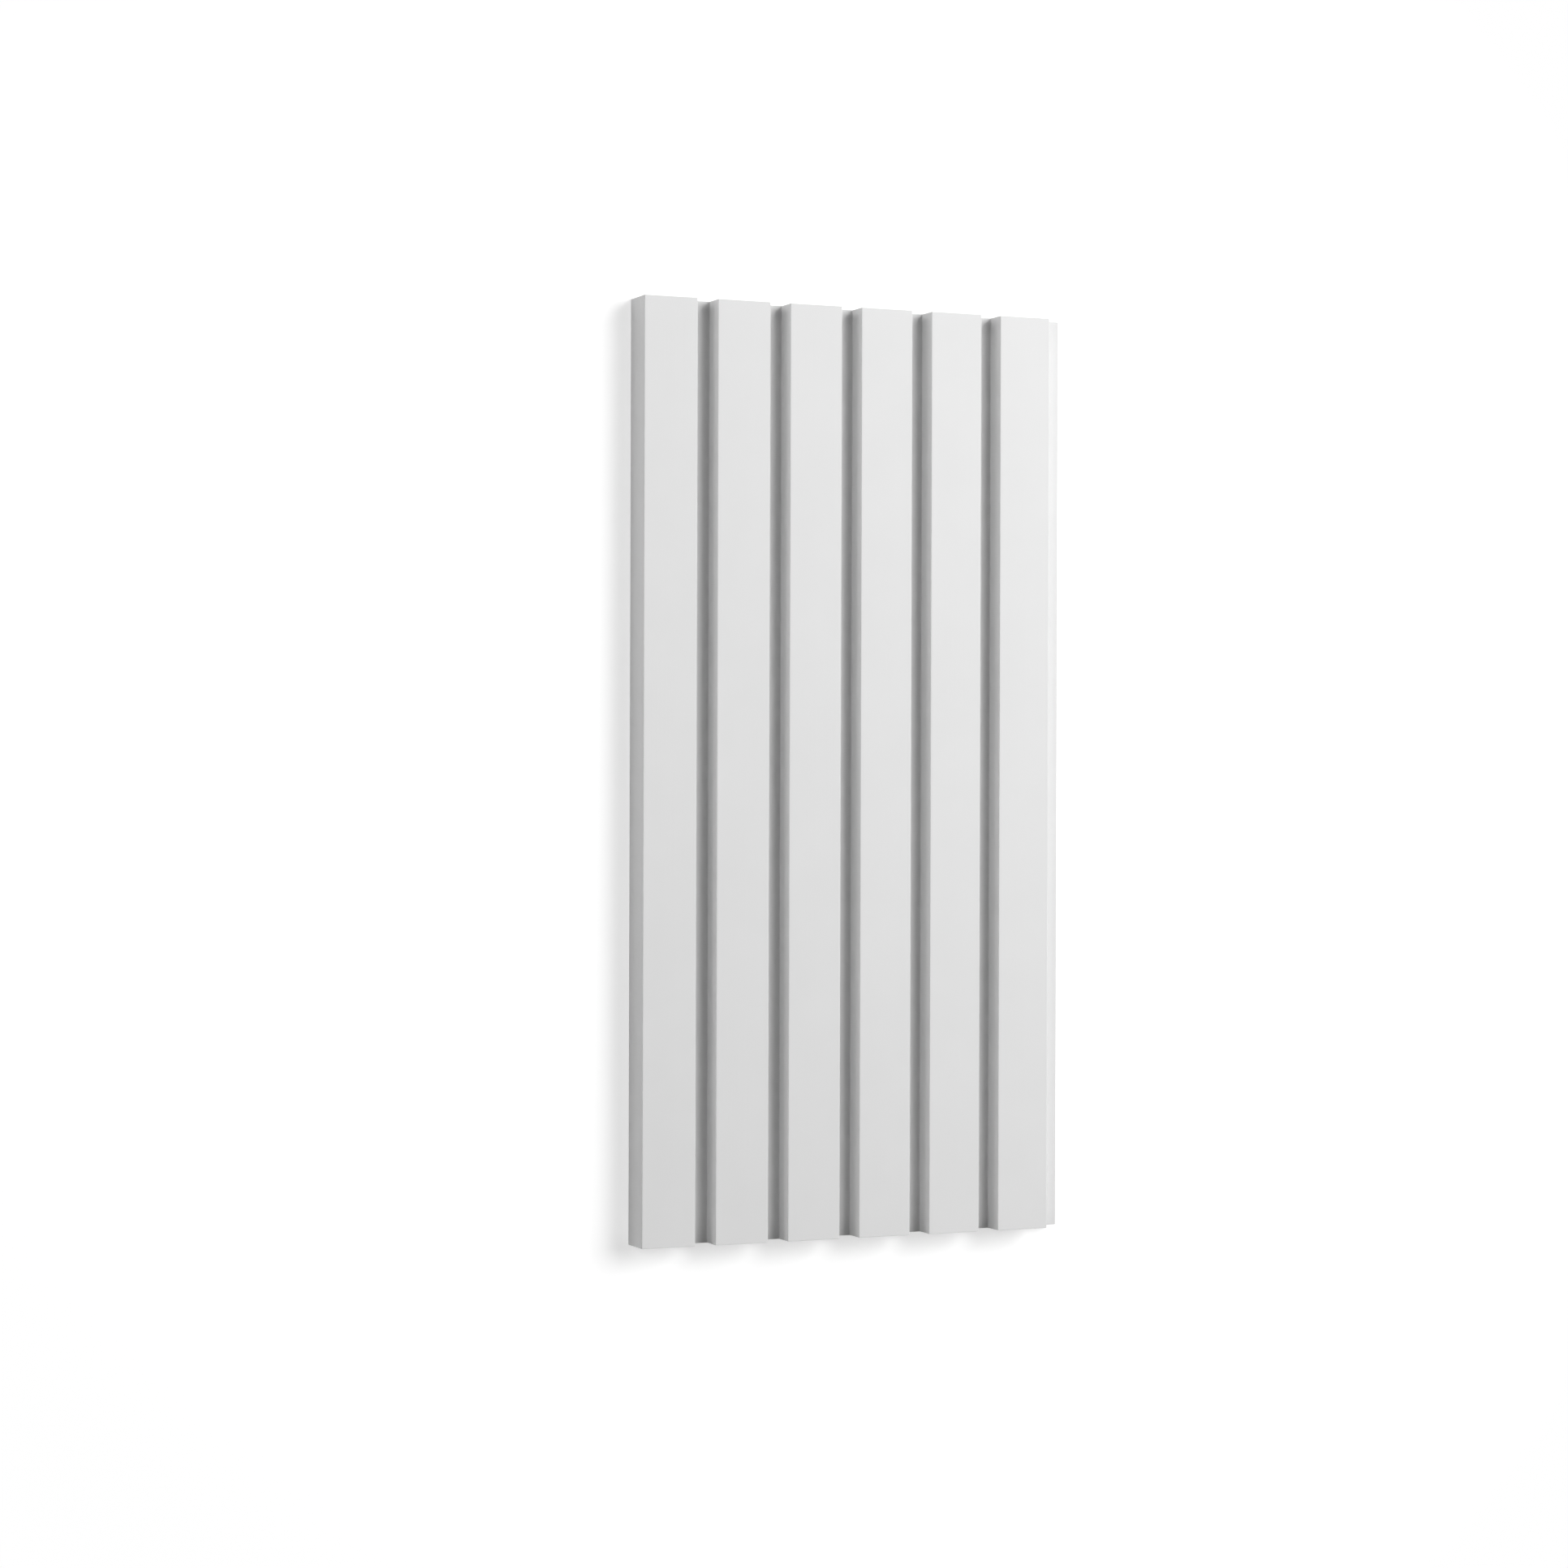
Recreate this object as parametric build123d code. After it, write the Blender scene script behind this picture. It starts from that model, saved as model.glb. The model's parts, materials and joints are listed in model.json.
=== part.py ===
from build123d import *

import os

# Slatted three-dimensional wall panel: one extruded length of primed foamed polymer.
# The panel lies on its flat back. X runs across the slats, Y along them and Z out of the front face.
# The origin is the centre of the back face. All sizes are in millimetres.

# Driving dimensions
panel_width = 250.0  # across the slats, lip included: the width that one panel covers
panel_length = 500.0  # along the slats, between the two sawn ends
slat_count = 6
gap_width = 11.5  # clear width of a groove, and of the open lip beside the last slat
base_thickness = 8.0  # solid web behind the grooves, and the lip's thickness
slat_height = 12.0  # how far a slat stands out from the web
arris_radius = 0.5  # eased long edges of a slat's front face
root_radius = 0.4  # where a slat's side runs into a groove's floor

# Worked out from the driving dimensions
slat_pitch = panel_width / slat_count
panel_depth = base_thickness + slat_height
left_edge = -panel_width / 2
groove_centres = [left_edge + slat_pitch * (slat + 1) - gap_width / 2 for slat in range(slat_count)]


def sharp_section():
    """The comb section before its edges are eased: a bar with one groove to the right of each slat.

    The last groove opens on the panel's right edge, which leaves the lip that the next panel butts on.
    """
    bar = Rectangle(panel_width, panel_depth, align=(Align.CENTER, Align.MIN))
    groove = Rectangle(gap_width, slat_height, align=(Align.CENTER, Align.MIN))
    grooves = [Pos(centre, base_thickness) * groove for centre in groove_centres]
    return bar - grooves


def eased_section():
    """The section with eased front arrises and filled groove roots.

    The back corners and the lip's outer corner stay sharp, because neighbouring panels meet there.
    """
    section = sharp_section()
    front_arrises = section.vertices().group_by(Axis.Y)[-1]
    section = fillet(front_arrises, arris_radius)
    floor_corners = section.vertices().group_by(Axis.Y)[1].sort_by(Axis.X)
    groove_roots = floor_corners[:-1]  # the last one is the lip's outer corner
    return fillet(groove_roots, root_radius)


def slatted_panel():
    """The section run out over the whole length, half of it each way from the middle."""
    section_plane = Plane(origin=(0, 0, 0), x_dir=(1, 0, 0), z_dir=(0, -1, 0))
    return extrude(section_plane * eased_section(), amount=panel_length / 2, both=True)


os.makedirs("parts", exist_ok=True)
export_step(slatted_panel(), "parts/slatted_panel.step")
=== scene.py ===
"""Looks of a slatted wall panel: white primed faces, sawn foam ends and a raw back, on a pale studio floor.

All sizes are in metres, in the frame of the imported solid: X runs across the slats, Y along them
and Z out of the front. The panel lies on its back, and the camera looks down on it.
"""

import json
import math
from functools import partial

import bpy
from bpy.props import FloatProperty, FloatVectorProperty, IntProperty, PointerProperty
from mathutils import Matrix, Vector


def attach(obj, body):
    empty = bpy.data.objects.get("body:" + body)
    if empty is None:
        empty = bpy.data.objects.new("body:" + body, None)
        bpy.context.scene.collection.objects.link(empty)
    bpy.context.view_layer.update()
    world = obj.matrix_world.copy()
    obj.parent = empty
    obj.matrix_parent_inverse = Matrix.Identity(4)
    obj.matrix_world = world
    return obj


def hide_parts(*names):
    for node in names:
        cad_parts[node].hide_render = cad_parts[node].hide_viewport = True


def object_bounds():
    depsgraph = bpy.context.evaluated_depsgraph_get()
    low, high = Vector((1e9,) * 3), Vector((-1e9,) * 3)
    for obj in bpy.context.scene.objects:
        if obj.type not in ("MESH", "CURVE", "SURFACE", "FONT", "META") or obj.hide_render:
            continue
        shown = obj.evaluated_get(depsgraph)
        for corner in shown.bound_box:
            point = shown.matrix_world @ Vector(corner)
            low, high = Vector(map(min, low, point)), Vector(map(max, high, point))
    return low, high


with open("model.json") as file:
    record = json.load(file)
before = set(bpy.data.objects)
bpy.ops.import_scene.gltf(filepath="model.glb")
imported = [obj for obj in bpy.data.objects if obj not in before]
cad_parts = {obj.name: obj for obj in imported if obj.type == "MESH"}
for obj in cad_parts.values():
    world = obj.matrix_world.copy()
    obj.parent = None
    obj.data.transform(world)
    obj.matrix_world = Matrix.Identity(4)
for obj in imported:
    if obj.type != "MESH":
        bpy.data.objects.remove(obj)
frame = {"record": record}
cad_low, cad_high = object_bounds()
cad_size = cad_high - cad_low

bl_info = {
    "name": "Slatted Wall Panel",
    "version": (1, 0, 0),
    "blender": (4, 5, 0),
    "location": "3D View > Sidebar > Wall Panel",
    "description": "Builds a primed polymer wall panel with raised slats, and a studio stage for it",
    "category": "Add Mesh",
}

PANEL_NODE = "slatted_panel"
PANEL_BODY = "root"
PRIMER = frame["record"]["materials"][0]["base_color"]
WHITE = (1.0, 1.0, 1.0, 1.0)
LEFT_FOOT, LEFT_FRONT, RIGHT_FRONT, RIGHT_FOOT = range(4)
CORNERS_PER_SLAT = RIGHT_FOOT + 1
LIP_CORNERS = 2
FACING_LIMIT = 0.5
SHARP_EDGE = math.radians(40.0)
SENSOR_WIDTH = 36.0


class WALLPANEL_PG_sizes(bpy.types.PropertyGroup):
    """Sizes of the panel and of its section."""

    panel_width: FloatProperty(
        name="Panel width",
        description="Across the slats, with the lip",
        default=cad_size.x,
        min=0.0,
        unit="LENGTH",
    )
    panel_length: FloatProperty(
        name="Panel length",
        description="Along the slats, between the sawn ends",
        default=cad_size.y,
        min=0.0,
        unit="LENGTH",
    )
    panel_depth: FloatProperty(
        name="Panel depth",
        description="From the back to the front of the slats",
        default=cad_size.z,
        min=0.0,
        unit="LENGTH",
    )
    slat_count: IntProperty(
        name="Slats",
        description="Slats across the panel",
        default=6,
        min=1,
    )
    gap_width: FloatProperty(
        name="Gap width",
        description="Clear width of a groove, and of the open lip",
        default=0.0115,
        min=0.0,
        unit="LENGTH",
    )
    slat_height: FloatProperty(
        name="Slat height",
        description="How far a slat stands out from the groove floor",
        default=0.012,
        min=0.0,
        unit="LENGTH",
    )
    arris_radius: FloatProperty(
        name="Arris radius",
        description="Rounding of a slat's long front edges",
        default=0.0005,
        min=0.0,
        unit="LENGTH",
    )
    root_radius: FloatProperty(
        name="Root radius",
        description="Rounding where a slat meets the groove floor",
        default=0.0004,
        min=0.0,
        unit="LENGTH",
    )
    sawn_ease: FloatProperty(
        name="Sawn edge ease",
        description="Width taken off the sawn edges and the joint edges",
        default=0.0002,
        min=0.0,
        unit="LENGTH",
    )
    arc_points: IntProperty(
        name="Arc points",
        description="Points on each rounded edge",
        default=6,
        min=1,
    )
    ease_segments: IntProperty(
        name="Ease segments",
        description="Facets across an eased sawn edge",
        default=2,
        min=1,
    )
    length_steps: IntProperty(
        name="Length steps",
        description="Faces along the panel's length",
        default=40,
        min=1,
    )


class WALLPANEL_PG_finish(bpy.types.PropertyGroup):
    """Colours and surface detail of the primed faces, the sawn ends and the raw back."""

    primer_colour: FloatVectorProperty(
        name="Primer",
        description="Colour of the primed faces",
        subtype="COLOR",
        size=4,
        default=(*PRIMER, 1.0),
        min=0.0,
        max=1.0,
    )
    end_colour: FloatVectorProperty(
        name="Sawn end",
        description="Colour of the cut foam at the ends",
        subtype="COLOR",
        size=4,
        default=(0.79, 0.79, 0.78, 1.0),
        min=0.0,
        max=1.0,
    )
    back_colour: FloatVectorProperty(
        name="Back",
        description="Colour of the raw back",
        subtype="COLOR",
        size=4,
        default=(0.74, 0.74, 0.73, 1.0),
        min=0.0,
        max=1.0,
    )
    tone_change: FloatProperty(
        name="Tone change",
        description="Share by which a colour varies over its surface",
        subtype="FACTOR",
        default=0.02,
        min=0.0,
        max=1.0,
    )
    cloud_size: FloatProperty(
        name="Cloud size",
        description="Size of the soft patches of tone",
        default=0.03,
        min=0.0,
        unit="LENGTH",
    )
    primer_roughness: FloatProperty(
        name="Primer roughness",
        description="Middle roughness of the primed faces",
        subtype="FACTOR",
        default=0.58,
        min=0.0,
        max=1.0,
    )
    end_roughness: FloatProperty(
        name="Sawn end roughness",
        description="Middle roughness of the cut foam",
        subtype="FACTOR",
        default=0.85,
        min=0.0,
        max=1.0,
    )
    back_roughness: FloatProperty(
        name="Back roughness",
        description="Middle roughness of the raw back",
        subtype="FACTOR",
        default=0.46,
        min=0.0,
        max=1.0,
    )
    roughness_change: FloatProperty(
        name="Roughness change",
        description="How far a roughness goes up and down from its middle",
        subtype="FACTOR",
        default=0.07,
        min=0.0,
        max=1.0,
    )
    primer_shine: FloatProperty(
        name="Primer shine",
        description="Specular level of the primed faces",
        subtype="FACTOR",
        default=0.35,
        min=0.0,
        max=1.0,
    )
    end_shine: FloatProperty(
        name="Sawn end shine",
        description="Specular level of the cut foam",
        subtype="FACTOR",
        default=0.25,
        min=0.0,
        max=1.0,
    )
    back_shine: FloatProperty(
        name="Back shine",
        description="Specular level of the raw back",
        subtype="FACTOR",
        default=0.5,
        min=0.0,
        max=1.0,
    )
    peel_size: FloatProperty(
        name="Peel size",
        description="Width of a bump in the primer's orange peel",
        default=0.0011,
        min=0.0,
        unit="LENGTH",
    )
    peel_height: FloatProperty(
        name="Peel height",
        description="Height of the primer's orange peel",
        default=0.000012,
        min=0.0,
        unit="LENGTH",
    )
    wave_width: FloatProperty(
        name="Wave width",
        description="Width of the slow waves across the panel, left as it cools",
        default=0.009,
        min=0.0,
        unit="LENGTH",
    )
    wave_height: FloatProperty(
        name="Wave height",
        description="Height of the slow waves",
        default=0.000025,
        min=0.0,
        unit="LENGTH",
    )
    line_width: FloatProperty(
        name="Die line width",
        description="Spacing of the faint lines that the die leaves along the panel",
        default=0.0016,
        min=0.0,
        unit="LENGTH",
    )
    line_length: FloatProperty(
        name="Die line length",
        description="How far one line of the die runs along the panel",
        default=0.25,
        min=0.0,
        unit="LENGTH",
    )
    line_height: FloatProperty(
        name="Die line height",
        description="Height of the die's lines under the primer",
        default=0.00002,
        min=0.0,
        unit="LENGTH",
    )
    back_line_height: FloatProperty(
        name="Back line height",
        description="Height of the die's lines on the raw back",
        default=0.00005,
        min=0.0,
        unit="LENGTH",
    )
    cell_size: FloatProperty(
        name="Foam cell size",
        description="Width of a cell in the cut foam",
        default=0.00045,
        min=0.0,
        unit="LENGTH",
    )
    cell_depth: FloatProperty(
        name="Foam cell depth",
        description="Depth of a cut cell",
        default=0.0001,
        min=0.0,
        unit="LENGTH",
    )
    saw_mark_width: FloatProperty(
        name="Saw mark width",
        description="Spacing of the saw's marks across an end",
        default=0.0018,
        min=0.0,
        unit="LENGTH",
    )
    saw_mark_depth: FloatProperty(
        name="Saw mark depth",
        description="Depth of the saw's marks",
        default=0.00006,
        min=0.0,
        unit="LENGTH",
    )


class WALLPANEL_PG_stage(bpy.types.PropertyGroup):
    """Floor, lamps and camera."""

    floor_size: FloatProperty(
        name="Floor size",
        description="Side of the square floor",
        default=12.0,
        min=0.0,
        unit="LENGTH",
    )
    floor_colour: FloatVectorProperty(
        name="Floor",
        description="Colour that the floor throws back on the panel",
        subtype="COLOR",
        size=4,
        default=(0.7, 0.7, 0.7, 1.0),
        min=0.0,
        max=1.0,
    )
    floor_shade: FloatProperty(
        name="Floor shade",
        description="Share of the shown floor's white that goes in shadow",
        subtype="FACTOR",
        default=0.62,
        min=0.0,
        max=1.0,
    )
    floor_glow: FloatProperty(
        name="Floor glow",
        description="Share of the shown floor's white that stays in shadow",
        subtype="FACTOR",
        default=0.56,
        min=0.0,
        max=1.0,
    )
    white_near: FloatProperty(
        name="White from",
        description="Distance from the panel's middle where the floor starts to fade to plain white",
        default=0.3,
        min=0.0,
        unit="LENGTH",
    )
    white_far: FloatProperty(
        name="White beyond",
        description="Distance from the panel's middle where the floor is all plain white",
        default=0.6,
        min=0.0,
        unit="LENGTH",
    )
    sky_level: FloatProperty(
        name="Sky level",
        description="Share of full white that the even light around gives",
        subtype="FACTOR",
        default=0.02,
        min=0.0,
        max=1.0,
    )
    key_level: FloatProperty(
        name="Key level",
        description="Share of full white that the key lamp gives on the front",
        subtype="FACTOR",
        default=0.8,
        min=0.0,
        max=1.0,
    )
    key_turn: FloatProperty(
        name="Key turn",
        description="Direction of the key lamp, turned from the lip's side towards the upper end",
        subtype="ANGLE",
        default=math.radians(30.0),
    )
    key_rise: FloatProperty(
        name="Key rise",
        description="Height of the key lamp above the floor",
        subtype="ANGLE",
        default=math.radians(51.5),
    )
    key_size: FloatProperty(
        name="Key size",
        description="Side of the square key lamp",
        default=1.6,
        min=0.0,
        unit="LENGTH",
    )
    fill_level: FloatProperty(
        name="Fill level",
        description="Share of full white that the fill lamp gives on the left side",
        subtype="FACTOR",
        default=0.276,
        min=0.0,
        max=1.0,
    )
    fill_turn: FloatProperty(
        name="Fill turn",
        description="Direction of the fill lamp, turned from the lip's side towards the upper end",
        subtype="ANGLE",
        default=math.radians(165.0),
    )
    fill_rise: FloatProperty(
        name="Fill rise",
        description="Height of the fill lamp above the floor",
        subtype="ANGLE",
        default=math.radians(18.0),
    )
    fill_size: FloatProperty(
        name="Fill size",
        description="Side of the square fill lamp",
        default=1.0,
        min=0.0,
        unit="LENGTH",
    )
    end_level: FloatProperty(
        name="End lamp level",
        description="Share of full white that the end lamp gives on the lower end",
        subtype="FACTOR",
        default=0.15,
        min=0.0,
        max=1.0,
    )
    end_turn: FloatProperty(
        name="End lamp turn",
        description="Direction of the end lamp, turned from the lip's side towards the upper end",
        subtype="ANGLE",
        default=math.radians(-90.0),
    )
    end_rise: FloatProperty(
        name="End lamp rise",
        description="Height of the end lamp above the floor",
        subtype="ANGLE",
        default=math.radians(6.0),
    )
    end_size: FloatProperty(
        name="End lamp size",
        description="Side of the square end lamp",
        default=0.4,
        min=0.0,
        unit="LENGTH",
    )
    lamp_distance: FloatProperty(
        name="Lamp distance",
        description="Distance of the lamps from the panel's middle",
        default=2.2,
        min=0.0,
        unit="LENGTH",
    )
    view_swing: FloatProperty(
        name="View swing",
        description="How far the camera swings from straight above towards the left side",
        subtype="ANGLE",
        default=math.radians(23.2923),
    )
    view_dip: FloatProperty(
        name="View dip",
        description="How far the camera leans towards the lower end",
        subtype="ANGLE",
        default=math.radians(0.1346),
    )
    view_roll: FloatProperty(
        name="View roll",
        description="Turn of the camera about its own line of sight",
        subtype="ANGLE",
        default=math.radians(0.172),
    )
    view_distance: FloatProperty(
        name="View distance",
        description="From the camera to the point on the front that it looks at",
        default=1.9038,
        min=0.0,
        unit="LENGTH",
    )
    view_centre: FloatVectorProperty(
        name="View centre",
        description="Point on the front's plane in the middle of the picture",
        subtype="XYZ",
        unit="LENGTH",
        size=2,
        default=(-0.0447, -0.0061),
    )
    focal_length: FloatProperty(
        name="Focal length",
        description="Focal length of the camera's lens",
        subtype="DISTANCE_CAMERA",
        default=82.076,
        min=1.0,
    )


def add_node(tree, kind, inputs=(), **options):
    """Adds a node with its options and inputs. An input that is another node's socket is linked."""
    node = tree.nodes.new(kind)
    for option, value in options.items():
        setattr(node, option, value)
    for key, value in dict(inputs).items():
        if isinstance(value, bpy.types.NodeSocket):
            tree.links.new(value, node.inputs[key])
        else:
            node.inputs[key].default_value = value
    return node


def calc(tree, operation, *values):
    """The result of one Math node."""
    return add_node(tree, "ShaderNodeMath", enumerate(values), operation=operation).outputs["Value"]


def noise(tree, place, grain, detail=2.0):
    """Noise whose features have a real size along X, Y and Z."""
    scaled = add_node(tree, "ShaderNodeMapping", {"Vector": place, "Scale": [1.0 / size for size in grain]})
    inputs = {"Vector": scaled.outputs["Vector"], "Scale": 1.0, "Detail": detail}
    return add_node(tree, "ShaderNodeTexNoise", inputs).outputs["Fac"]


def bump(tree, height, depth, under=None):
    """Normals of a height field of that depth, laid over another set of normals if there is one."""
    inputs = {"Height": height, "Distance": depth}
    if under is not None:
        inputs["Normal"] = under
    return add_node(tree, "ShaderNodeBump", inputs).outputs["Normal"]


def toned(tree, factor, colour, change):
    """The colour, a little darker where the factor is low and a little lighter where it is high."""
    ramp = add_node(tree, "ShaderNodeValToRGB", {"Fac": factor})
    for element, level in zip(ramp.color_ramp.elements, (1.0 - change, 1.0 + change)):
        element.color = [channel * level for channel in colour[:3]] + [1.0]
    return ramp.outputs["Color"]


def around(tree, factor, middle, change):
    """A factor from 0 to 1 spread evenly about a middle value."""
    inputs = {"Value": factor, "To Min": middle - change, "To Max": middle + change}
    return add_node(tree, "ShaderNodeMapRange", inputs).outputs["Result"]


def new_finish(name):
    """An empty material, with its node tree and the place on the panel in metres."""
    material = bpy.data.materials.new(name)
    material.use_nodes = True
    tree = material.node_tree
    return material, tree, add_node(tree, "ShaderNodeTexCoord").outputs["Object"]


def set_shader(tree, colour, roughness, normal, specular):
    """Links what varies over the surface to the shader, and sets how much it shines."""
    shader = tree.nodes["Principled BSDF"]
    for name, socket in (("Base Color", colour), ("Roughness", roughness), ("Normal", normal)):
        tree.links.new(socket, shader.inputs[name])
    shader.inputs["Specular IOR Level"].default_value = specular


def primed_face(finish):
    """Matte white primer: fine orange peel over faint die lines and slow waves, with soft patches of tone."""
    material, tree, place = new_finish("primed_face")
    clouds = noise(tree, place, [finish.cloud_size] * 3)
    waves = noise(tree, place, (finish.wave_width, finish.line_length, finish.wave_width))
    lines = noise(tree, place, (finish.line_width, finish.line_length, finish.line_width))
    peel = noise(tree, place, [finish.peel_size] * 3, detail=3.0)
    under_primer = bump(tree, lines, finish.line_height, bump(tree, waves, finish.wave_height))
    set_shader(
        tree,
        colour=toned(tree, clouds, finish.primer_colour, finish.tone_change),
        roughness=around(tree, peel, finish.primer_roughness, finish.roughness_change),
        normal=bump(tree, peel, finish.peel_height, under_primer),
        specular=finish.primer_shine,
    )
    return material


def sawn_end(finish):
    """Cut foam: small open cells, each painted a little darker towards its deepest middle as shade in the
    pit, with the marks that the saw left from back to front.
    """
    material, tree, place = new_finish("sawn_end")
    cells = add_node(tree, "ShaderNodeTexVoronoi", {"Vector": place, "Scale": 1.0 / finish.cell_size})
    cell = cells.outputs["Distance"]
    marks = noise(tree, place, (finish.saw_mark_width, finish.saw_mark_width, cad_size.z))
    # The cells' colour follows their bump: darker where a pit is deepest. This is painted shade in the pits,
    # on top of their real bump.
    set_shader(
        tree,
        colour=toned(tree, cell, finish.end_colour, finish.tone_change),
        roughness=around(tree, cell, finish.end_roughness, finish.roughness_change),
        normal=bump(tree, cell, finish.cell_depth, bump(tree, marks, finish.saw_mark_depth)),
        specular=finish.end_shine,
    )
    return material


def raw_back(finish):
    """Raw back: the die's own skin, smoother than the primer and with plainer lines."""
    material, tree, place = new_finish("raw_back")
    clouds = noise(tree, place, [finish.cloud_size] * 3)
    lines = noise(tree, place, (finish.line_width, finish.line_length, finish.line_width), detail=4.0)
    set_shader(
        tree,
        colour=toned(tree, clouds, finish.back_colour, finish.tone_change),
        roughness=around(tree, lines, finish.back_roughness, finish.roughness_change),
        normal=bump(tree, lines, finish.back_line_height),
        specular=finish.back_shine,
    )
    return material


SECTION_INPUTS = {
    "Panel Width": "NodeSocketFloat",
    "Panel Length": "NodeSocketFloat",
    "Panel Depth": "NodeSocketFloat",
    "Slat Count": "NodeSocketInt",
    "Gap Width": "NodeSocketFloat",
    "Slat Height": "NodeSocketFloat",
    "Arris Radius": "NodeSocketFloat",
    "Root Radius": "NodeSocketFloat",
    "Arc Points": "NodeSocketInt",
    "Length Steps": "NodeSocketInt",
    "Primed Face": "NodeSocketMaterial",
    "Sawn End": "NodeSocketMaterial",
    "Raw Back": "NodeSocketMaterial",
}


def section_outline(tree, sizes):
    """The section's closed outline, flat on X and Y, with heights written as minus Y.

    Its corners are numbered from the left: foot, front, front and foot of each slat, then the lip's two.
    """
    value = partial(calc, tree)
    number = add_node(tree, "GeometryNodeInputIndex").outputs["Index"]
    slat = value("FLOOR", value("DIVIDE", number, CORNERS_PER_SLAT))
    corner = value("MODULO", number, CORNERS_PER_SLAT)
    lip_corner = value("MULTIPLY", sizes["Slat Count"], CORNERS_PER_SLAT)
    past_foot = value("GREATER_THAN", corner, LEFT_FOOT)
    on_right = value("GREATER_THAN", corner, LEFT_FRONT)
    past_front = value("GREATER_THAN", corner, RIGHT_FRONT)
    on_front = value("SUBTRACT", past_foot, past_front)
    at_left = value("LESS_THAN", number, LEFT_FRONT)
    on_slats = value("LESS_THAN", number, lip_corner)
    under_lip = value("GREATER_THAN", number, lip_corner)

    pitch = value("DIVIDE", sizes["Panel Width"], sizes["Slat Count"])
    slat_width = value("SUBTRACT", pitch, sizes["Gap Width"])
    left_edge = value("MULTIPLY", sizes["Panel Width"], -0.5)
    slat_left = value("MULTIPLY_ADD", slat, pitch, left_edge)
    across = value("MULTIPLY_ADD", on_right, slat_width, slat_left)

    groove_floor = value("SUBTRACT", sizes["Panel Depth"], sizes["Slat Height"])
    front_or_floor = value("MULTIPLY_ADD", on_front, sizes["Slat Height"], groove_floor)
    off_back = value("SUBTRACT", 1.0, value("ADD", at_left, under_lip))
    level = value("MULTIPLY", front_or_floor, off_back)

    arris_more = value("SUBTRACT", sizes["Arris Radius"], sizes["Root Radius"])
    arris_or_root = value("MULTIPLY_ADD", on_front, arris_more, sizes["Root Radius"])
    off_joint = value("SUBTRACT", on_slats, at_left)
    radius = value("MULTIPLY", arris_or_root, off_joint)

    spot = add_node(tree, "ShaderNodeCombineXYZ", {"X": across, "Y": value("MULTIPLY", level, -1.0)})
    corners = add_node(tree, "GeometryNodePoints", {
        "Count": value("ADD", lip_corner, LIP_CORNERS),
        "Position": spot.outputs["Vector"],
    })
    line = add_node(tree, "GeometryNodePointsToCurves", {"Points": corners.outputs["Points"]})
    closed = add_node(tree, "GeometryNodeSetSplineCyclic", {
        "Geometry": line.outputs["Curves"],
        "Cyclic": True,
    })
    rounded = add_node(tree, "GeometryNodeFilletCurve", {
        "Curve": closed.outputs["Geometry"],
        "Count": sizes["Arc Points"],
        "Radius": radius,
        "Limit Radius": True,
    }, mode="POLY")
    return rounded.outputs["Curve"]


def length_path(tree, sizes):
    """The straight line that the section runs along, from the lower end to the upper one."""
    half = calc(tree, "MULTIPLY", sizes["Panel Length"], 0.5)
    lower = add_node(tree, "ShaderNodeCombineXYZ", {"Y": calc(tree, "MULTIPLY", half, -1.0)})
    upper = add_node(tree, "ShaderNodeCombineXYZ", {"Y": half})
    line = add_node(tree, "GeometryNodeCurvePrimitiveLine", {
        "Start": lower.outputs["Vector"],
        "End": upper.outputs["Vector"],
    })
    stepped = add_node(tree, "GeometryNodeResampleCurve", {
        "Curve": line.outputs["Curve"],
        "Count": calc(tree, "ADD", sizes["Length Steps"], 1.0),
    })
    return stepped.outputs["Curve"]


def facing(tree, axis, operation, limit):
    """Picks the faces whose normal's part along an axis passes a limit."""
    normal = add_node(tree, "GeometryNodeInputNormal").outputs["Normal"]
    part = add_node(tree, "ShaderNodeSeparateXYZ", {"Vector": normal}).outputs[axis]
    compare = add_node(tree, "FunctionNodeCompare", {"A": part, "B": limit}, operation=operation)
    return compare.outputs["Result"]


def panel_tree():
    """The node tree that runs the rounded section out along the panel and gives each side its finish."""
    tree = bpy.data.node_groups.new("Slatted panel", "GeometryNodeTree")
    tree.interface.new_socket("Geometry", in_out="OUTPUT", socket_type="NodeSocketGeometry")
    for name, kind in SECTION_INPUTS.items():
        tree.interface.new_socket(name, in_out="INPUT", socket_type=kind)
    sizes = tree.nodes.new("NodeGroupInput").outputs
    run = add_node(tree, "GeometryNodeCurveToMesh", {
        "Curve": length_path(tree, sizes),
        "Profile Curve": section_outline(tree, sizes),
        "Fill Caps": True,
    })
    smooth = add_node(tree, "GeometryNodeSetShadeSmooth", {"Geometry": run.outputs["Mesh"]})
    realized = add_node(tree, "GeometryNodeRealizeInstances", {"Geometry": smooth.outputs["Geometry"]})
    shape = realized.outputs["Geometry"]
    for name, selection in (
        ("Primed Face", True),
        ("Sawn End", facing(tree, "Y", "LESS_THAN", -FACING_LIMIT)),
        ("Sawn End", facing(tree, "Y", "GREATER_THAN", FACING_LIMIT)),
        ("Raw Back", facing(tree, "Z", "LESS_THAN", -FACING_LIMIT)),
    ):
        shape = add_node(tree, "GeometryNodeSetMaterial", {
            "Geometry": shape,
            "Selection": selection,
            "Material": sizes[name],
        }).outputs["Geometry"]
    add_node(tree, "NodeGroupOutput", {"Geometry": shape})
    return tree


def set_inputs(modifier, values):
    """Sets a node modifier's inputs, found by name and written by socket identifier."""
    for item in modifier.node_group.interface.items_tree:
        if item.in_out == "INPUT":
            modifier[item.identifier] = values[item.name]


def new_object(name, data):
    """An object at the origin, linked to the scene."""
    made = bpy.data.objects.new(name, data)
    bpy.context.scene.collection.objects.link(made)
    return made


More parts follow.
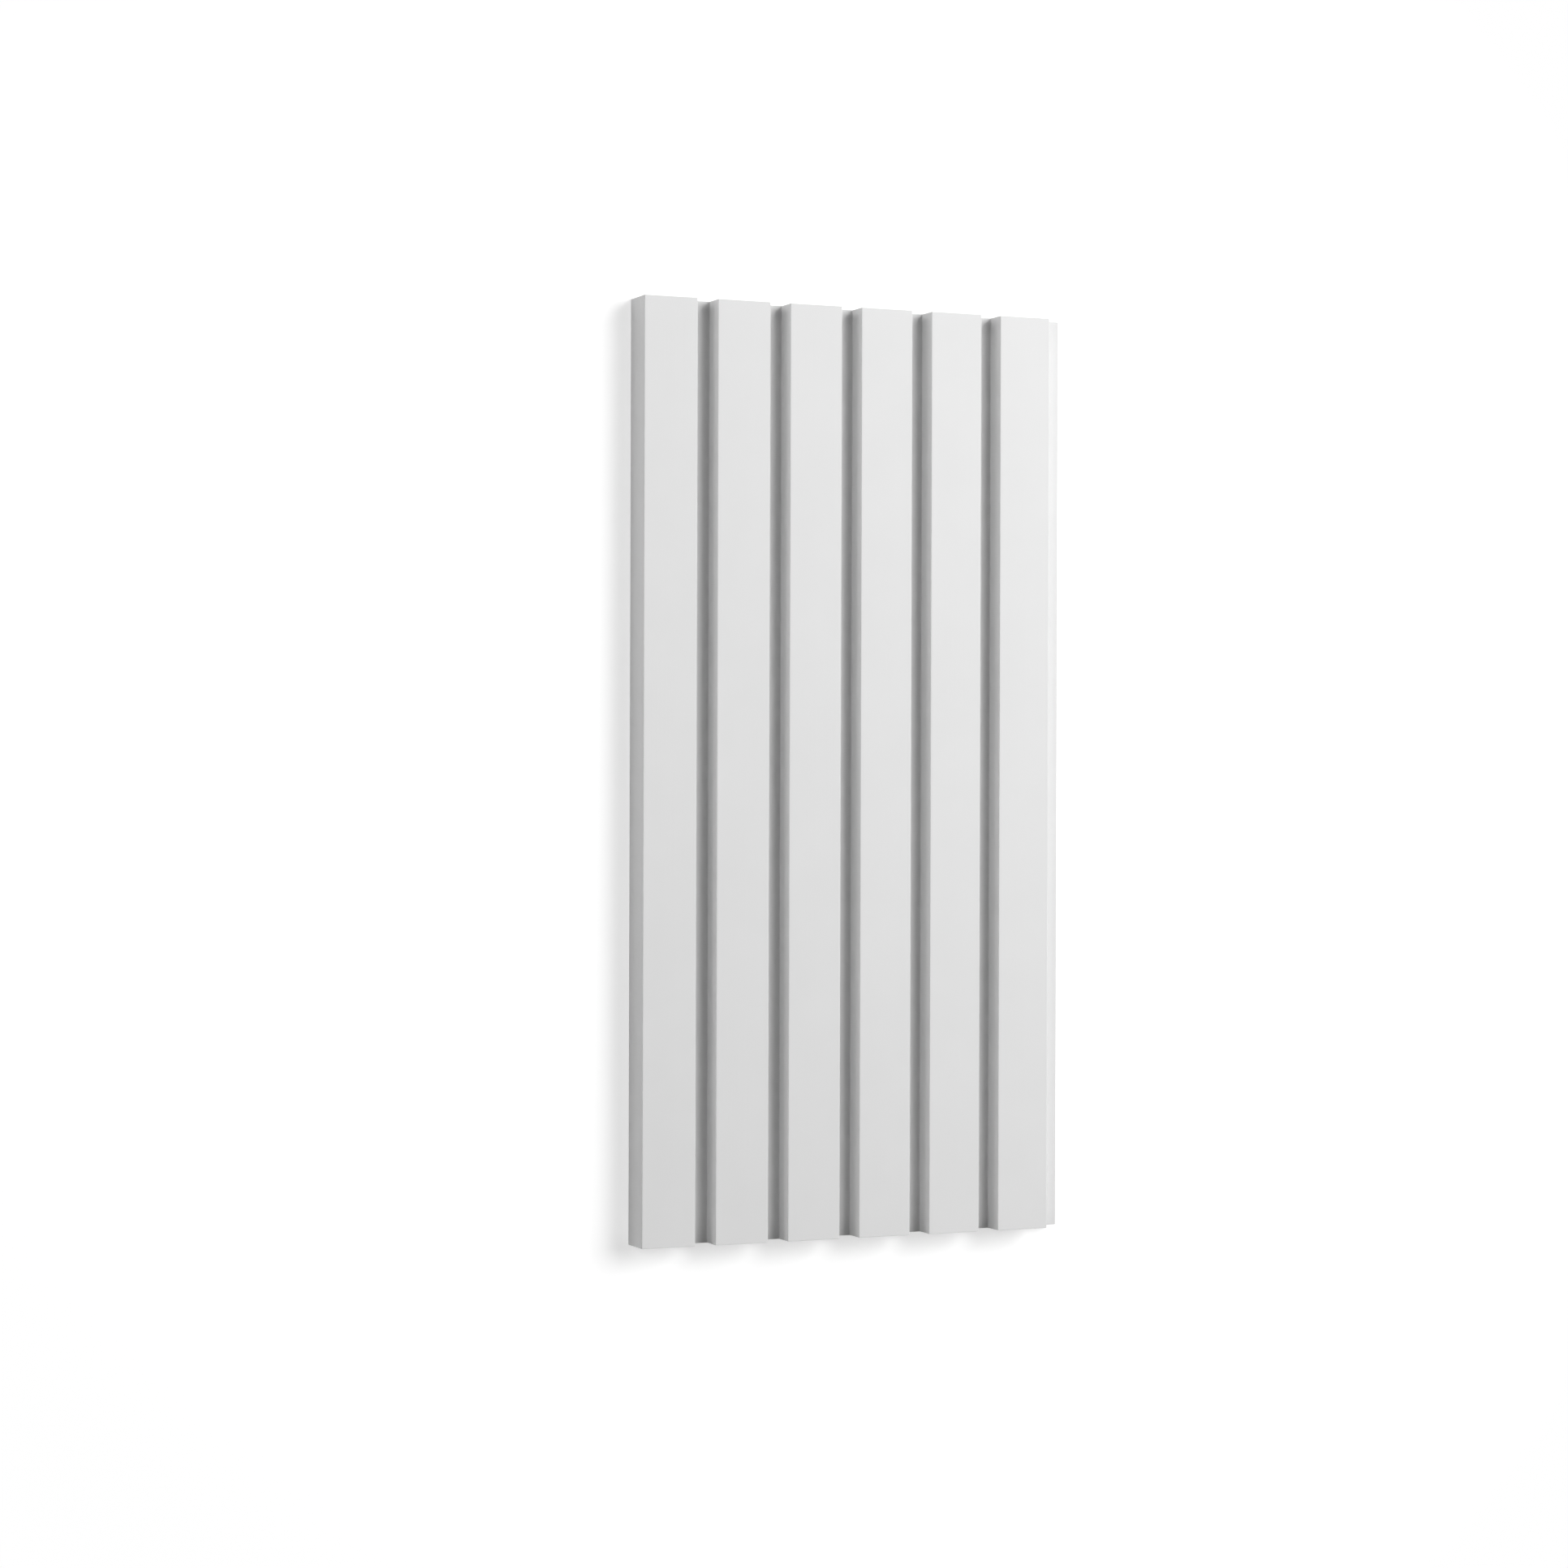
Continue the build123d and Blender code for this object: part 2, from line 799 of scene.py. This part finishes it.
def plain_mesh(maker, name):
    """The evaluated shape of an object as a mesh of its own. The object that made it is removed."""
    graph = bpy.context.evaluated_depsgraph_get()
    mesh = bpy.data.meshes.new_from_object(maker.evaluated_get(graph), depsgraph=graph)
    mesh.name = name
    bpy.data.objects.remove(maker)
    return mesh


class WALLPANEL_OT_panel(bpy.types.Operator):
    """Makes the slatted panel in place of its plain solid"""

    bl_idname = "wall_panel.panel"
    bl_label = "Slatted panel"
    bl_options = {"REGISTER", "UNDO"}

    def execute(self, context):
        sizes = context.scene.wall_panel_sizes
        finish = context.scene.wall_panel_finish
        maker = new_object("section_maker", bpy.data.meshes.new("section_maker"))
        section = maker.modifiers.new("Section", "NODES")
        section.node_group = panel_tree()
        set_inputs(section, {
            "Panel Width": sizes.panel_width,
            "Panel Length": sizes.panel_length,
            "Panel Depth": sizes.panel_depth,
            "Slat Count": sizes.slat_count,
            "Gap Width": sizes.gap_width,
            "Slat Height": sizes.slat_height,
            "Arris Radius": sizes.arris_radius,
            "Root Radius": sizes.root_radius,
            "Arc Points": sizes.arc_points,
            "Length Steps": sizes.length_steps,
            "Primed Face": primed_face(finish),
            "Sawn End": sawn_end(finish),
            "Raw Back": raw_back(finish),
        })
        ease = maker.modifiers.new("Sawn edges", "BEVEL")
        ease.width = sizes.sawn_ease
        ease.segments = sizes.ease_segments
        ease.limit_method = "ANGLE"
        ease.angle_limit = SHARP_EDGE
        maker.modifiers.new("Flat faces", "WEIGHTED_NORMAL")
        mesh = plain_mesh(maker, "primed_slatted_panel")
        if not mesh.polygons:
            raise RuntimeError("the section made no faces")
        panel = new_object("primed_slatted_panel", mesh)
        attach(panel, PANEL_BODY)
        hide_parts(PANEL_NODE)
        return {"FINISHED"}


def seen_directly(tree):
    """1 for light that reaches the camera straight, or by way of gloss or glass, and 0 for the rest."""
    path = add_node(tree, "ShaderNodeLightPath").outputs
    by_gloss = calc(tree, "MAXIMUM", path["Is Glossy Ray"], path["Is Transmission Ray"])
    return calc(tree, "MAXIMUM", path["Is Camera Ray"], by_gloss)


def mixed(tree, factor, first, second):
    """One shader where the factor is 0 and the other where it is 1."""
    return add_node(tree, "ShaderNodeMixShader", {0: factor, 1: first, 2: second}).outputs["Shader"]


def glow(tree, strength):
    """White light of that strength, where 1 shows as white."""
    return add_node(tree, "ShaderNodeEmission", {"Color": WHITE, "Strength": strength}).outputs["Emission"]


def white_floor(stage):
    """A pale floor that shows as white with the panel's shadow on it, and as plain white further out."""
    material = bpy.data.materials.new("white_floor")
    material.use_nodes = True
    tree = material.node_tree
    tree.nodes.clear()
    place = add_node(tree, "ShaderNodeTexCoord").outputs["Object"]
    distance = add_node(tree, "ShaderNodeVectorMath", {0: place}, operation="LENGTH").outputs["Value"]
    far = add_node(tree, "ShaderNodeMapRange", {
        "Value": distance,
        "From Min": stage.white_near,
        "From Max": stage.white_far,
    }).outputs["Result"]
    shade = [stage.floor_shade] * 3 + [1.0]
    pale = add_node(tree, "ShaderNodeBsdfDiffuse", {"Color": stage.floor_colour}).outputs["BSDF"]
    shaded = add_node(tree, "ShaderNodeBsdfDiffuse", {"Color": shade}).outputs["BSDF"]
    near = add_node(tree, "ShaderNodeAddShader", {0: shaded, 1: glow(tree, stage.floor_glow)})
    shown = mixed(tree, far, near.outputs["Shader"], glow(tree, 1.0))
    surface = mixed(tree, seen_directly(tree), pale, shown)
    add_node(tree, "ShaderNodeOutputMaterial", {"Surface": surface})
    return material


def add_floor(stage):
    """A square floor level with the panel's back."""
    half = stage.floor_size / 2
    level = cad_low.z
    mesh = bpy.data.meshes.new("floor")
    corners = [(-half, -half, level), (half, -half, level), (half, half, level), (-half, half, level)]
    mesh.from_pydata(corners, [], [(0, 1, 2, 3)])
    mesh.materials.append(white_floor(stage))
    new_object("floor", mesh)


def add_sky(stage):
    """Even light all round, which shows as plain white behind the panel."""
    world = bpy.data.worlds.new("studio")
    world.use_nodes = True
    tree = world.node_tree
    tree.nodes.clear()
    light = add_node(tree, "ShaderNodeBackground", {"Color": WHITE, "Strength": stage.sky_level})
    white = add_node(tree, "ShaderNodeBackground", {"Color": WHITE, "Strength": 1.0})
    sky = mixed(tree, seen_directly(tree), light.outputs["Background"], white.outputs["Background"])
    add_node(tree, "ShaderNodeOutputWorld", {"Surface": sky})
    bpy.context.scene.world = world


def add_lamp(stage, name, lit_side):
    """A square soft lamp aimed at the panel's middle, whose level is what it gives a white lit_side."""
    level, turn, rise, size = (getattr(stage, f"{name}_{part}") for part in ("level", "turn", "rise", "size"))
    distance = stage.lamp_distance
    along_floor = math.cos(rise)
    towards = Vector((math.cos(turn) * along_floor, math.sin(turn) * along_floor, math.sin(rise)))
    # The share of a facing surface's view that the square lamp fills.
    reach = math.sin(math.atan2(size / 2, distance))
    share_of_view = 4 / math.pi * reach * math.atan(reach)
    light = bpy.data.lights.new(name, "AREA")
    light.shape = "SQUARE"
    light.size = size
    light.energy = level * math.pi * size ** 2 / (share_of_view * towards.dot(Vector(lit_side)))
    lamp = new_object(name, light)
    aim = towards.to_track_quat("Z", "Y").to_matrix().to_4x4()
    lamp.matrix_world = Matrix.Translation(towards * distance) @ aim
    lamp.visible_camera = False


def add_camera(stage):
    """A camera above the panel, swung to its left side, with the slats upright in the picture."""
    camera = bpy.data.cameras.new("camera")
    camera.sensor_width = SENSOR_WIDTH
    camera.lens = stage.focal_length
    looker = new_object("camera", camera)
    aim = Matrix.Translation((*stage.view_centre, cad_high.z))
    swing = Matrix.Rotation(-stage.view_swing, 4, "Y")
    dip = Matrix.Rotation(-stage.view_dip, 4, "X")
    roll = Matrix.Rotation(stage.view_roll, 4, "Z")
    looker.matrix_world = aim @ swing @ dip @ roll @ Matrix.Translation((0, 0, stage.view_distance))
    bpy.context.scene.camera = looker


class WALLPANEL_OT_stage(bpy.types.Operator):
    """Makes the floor, the light and the camera"""

    bl_idname = "wall_panel.stage"
    bl_label = "Studio stage"
    bl_options = {"REGISTER", "UNDO"}

    def execute(self, context):
        stage = context.scene.wall_panel_stage
        add_floor(stage)
        add_sky(stage)
        add_lamp(stage, "key", lit_side=(0, 0, 1))
        add_lamp(stage, "fill", lit_side=(-1, 0, 0))
        add_lamp(stage, "end", lit_side=(0, -1, 0))
        add_camera(stage)
        context.scene.view_settings.view_transform = "Standard"
        return {"FINISHED"}


class WALLPANEL_PT_sidebar(bpy.types.Panel):
    """The panel's pieces with their sizes and finish"""

    bl_idname = "WALLPANEL_PT_sidebar"
    bl_label = "Slatted Wall Panel"
    bl_space_type = "VIEW_3D"
    bl_region_type = "UI"
    bl_category = "Wall Panel"

    def draw(self, context):
        scene = context.scene
        pieces = (
            (WALLPANEL_OT_panel, (scene.wall_panel_sizes, scene.wall_panel_finish)),
            (WALLPANEL_OT_stage, (scene.wall_panel_stage,)),
        )
        for operator, groups in pieces:
            box = self.layout.box()
            box.operator(operator.bl_idname)
            for group in groups:
                for name in group.__annotations__:
                    box.prop(group, name)


CLASSES = (
    WALLPANEL_PG_sizes,
    WALLPANEL_PG_finish,
    WALLPANEL_PG_stage,
    WALLPANEL_OT_panel,
    WALLPANEL_OT_stage,
    WALLPANEL_PT_sidebar,
)


def register():
    """Registers the classes and gives each scene its sizes, finish and stage."""
    for cls in CLASSES:
        bpy.utils.register_class(cls)
    bpy.types.Scene.wall_panel_sizes = PointerProperty(type=WALLPANEL_PG_sizes)
    bpy.types.Scene.wall_panel_finish = PointerProperty(type=WALLPANEL_PG_finish)
    bpy.types.Scene.wall_panel_stage = PointerProperty(type=WALLPANEL_PG_stage)


def unregister():
    """Takes back all that register gave."""
    del bpy.types.Scene.wall_panel_stage
    del bpy.types.Scene.wall_panel_finish
    del bpy.types.Scene.wall_panel_sizes
    for cls in reversed(CLASSES):
        bpy.utils.unregister_class(cls)


def main():
    """Builds the panel and its stage."""
    register()
    bpy.ops.wall_panel.panel()
    bpy.ops.wall_panel.stage()


if __name__ == "__main__":
    main()
